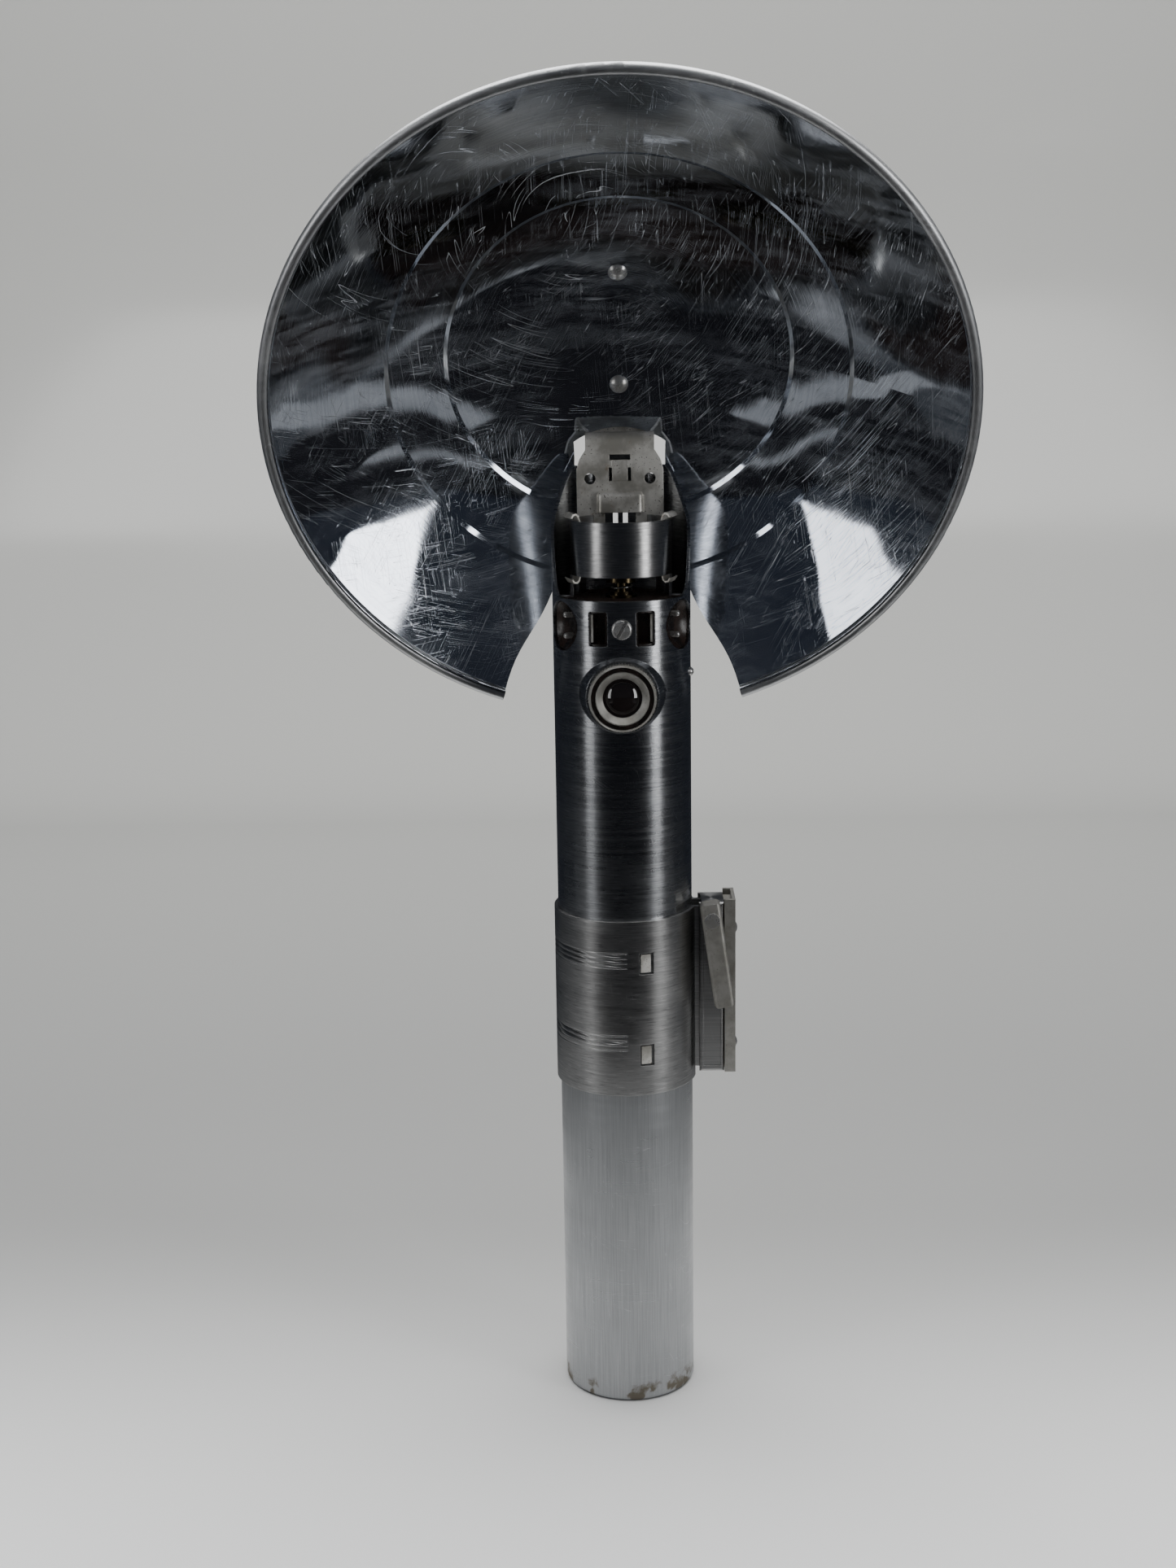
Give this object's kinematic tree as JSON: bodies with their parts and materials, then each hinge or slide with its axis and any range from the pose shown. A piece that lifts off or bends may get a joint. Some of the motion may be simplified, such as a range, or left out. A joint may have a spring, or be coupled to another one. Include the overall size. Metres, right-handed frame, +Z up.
{
  "type": "battery handle flash gun",
  "caption": "Battery-handle flash gun with a slide-in slotted bowl reflector, screw lamp socket, side outlets, test-light lens and a lever bracket clamp.",
  "frame": {"origin": "centre of the battery case's flat base", "axes": "+Z up along the handle; -Y is the front, with the lens and the bowl's mouth; +X is the bracket clamp's side"},
  "size_m": [0.186, 0.0934, 0.3658],
  "materials": {
    "case_aluminium": "satin drawn aluminium, worn",
    "head_nickel": "polished plate with fine turning marks",
    "band_nickel": "polished plate with engraved rings",
    "satin_nickel": "satin plate, rubbed bright on its edges",
    "pressed_steel": "bright pressed steel, spotted with age",
    "bright_fastener": "polished",
    "spring_steel": "drawn wire",
    "bakelite": "moulded phenolic, semi-gloss",
    "fibre_board": "red-brown insulating fibre",
    "contact_brass": "tarnished brass",
    "lens_glass": "dark tinted lens",
    "lamp_glass": "clear miniature lamp",
    "red_button": "moulded, semi-gloss",
    "cell_jacket": "plain painted jacket",
    "reflector_mirror": "polished aluminium, hazed and scratched"
  },
  "bodies": {
    "battery_case": {"battery_case": "case_aluminium", "case_spring": "spring_steel", "cell_lower": "cell_jacket", "cell_middle": "cell_jacket", "cell_upper": "cell_jacket"},
    "clamp": {"clamp_band": "band_nickel", "band_hooks": "pressed_steel", "clamp_box": "band_nickel", "clamp_rail": "satin_nickel", "rail_rivets": "bright_fastener", "lever_pin": "bright_fastener"},
    "clamp_lever": {"clamp_lever": "satin_nickel", "lever_cam": "pressed_steel"},
    "shutter_button": {"shutter_button": "red_button"},
    "contact_plunger": {"contact_plunger": "contact_brass"},
    "reflector": {"bracket_plate": "pressed_steel", "arm_rivets": "bright_fastener", "reflector_bowl": "reflector_mirror"},
    "head": {"head_tube": "head_nickel", "coupling_sleeve": "pressed_steel", "bayonet_lugs": "bright_fastener", "sleeve_rivets": "bright_fastener", "contact_disc": "fibre_board", "battery_contact": "contact_brass", "socket_floor": "fibre_board", "socket_band": "band_nickel", "socket_clips": "pressed_steel", "contact_bush": "contact_brass", "plunger_spring": "spring_steel", "plate_channel": "pressed_steel", "outlet_cup_left": "bakelite", "outlet_cup_right": "bakelite", "outlet_pins_left": "bright_fastener", "outlet_pins_right": "bright_fastener", "blade_block": "bakelite", "blade_contacts": "pressed_steel", "front_screw": "bright_fastener", "eye_flange": "head_nickel", "eye_barrel": "pressed_steel", "eye_lamp": "lamp_glass", "eye_ring": "satin_nickel", "eye_seat": "bakelite", "eye_bezel": "satin_nickel", "eye_lens": "lens_glass", "button_collar": "head_nickel", "switch_leaves": "contact_brass", "side_screw": "bright_fastener"}
  },
  "joints": [
    {"name": "head_twist", "type": "hinge", "parent": "battery_case", "child": "head", "pos_m": [0, 0, 0.112], "axis": [0, 0, 1], "range_deg": [0, 20]},
    {"name": "clamp_turn", "type": "hinge", "parent": "battery_case", "child": "clamp", "pos_m": [0, 0, 0.12], "axis": [0, 0, 1], "continuous": true},
    {"name": "lever_swing", "type": "hinge", "parent": "clamp", "child": "clamp_lever", "pos_m": [0.0244, 0, 0.1438], "axis": [0, -1, 0], "range_deg": [-8, 95]},
    {"name": "reflector_slide", "type": "slide", "parent": "head", "child": "reflector", "axis": [0, 0, 1], "range_m": [0, 0.03]},
    {"name": "button_press", "type": "slide", "parent": "head", "child": "shutter_button", "axis": [0, -1, 0], "range_m": [0, 0.002], "stiffness_N_per_m": 600, "springref_m": -0.002},
    {"name": "contact_press", "type": "slide", "parent": "head", "child": "contact_plunger", "axis": [0, 0, -1], "range_m": [0, 0.0015], "stiffness_N_per_m": 600, "springref_m": -0.002, "deforming": ["plunger_spring"]}
  ]
}
